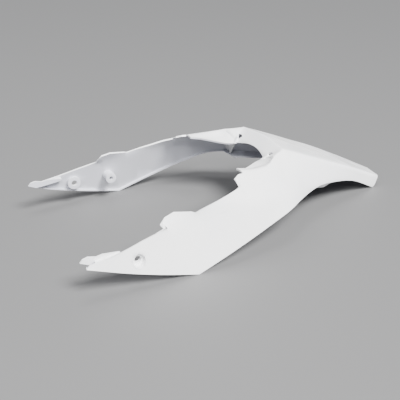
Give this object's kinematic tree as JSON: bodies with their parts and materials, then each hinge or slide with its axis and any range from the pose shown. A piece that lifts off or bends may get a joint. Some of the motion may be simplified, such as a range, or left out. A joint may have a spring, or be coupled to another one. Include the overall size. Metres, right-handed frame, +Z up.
{
  "type": "motorcycle rear fender",
  "caption": "One-piece white plastic motorcycle rear fender with long side arms, a seat cut-out with ledges, and a raised tapering tail panel.",
  "frame": {"origin": "on the table, under the middle of the fender's overall length and width", "axes": "+X back towards the tail, +Y towards the fender's right side, +Z up"},
  "size_m": [0.645, 0.336, 0.129],
  "materials": {
    "white_plastic": "semi-gloss white moulded polypropylene"
  },
  "bodies": {
    "root": {"rear_fender": "white_plastic"}
  },
  "joints": []
}
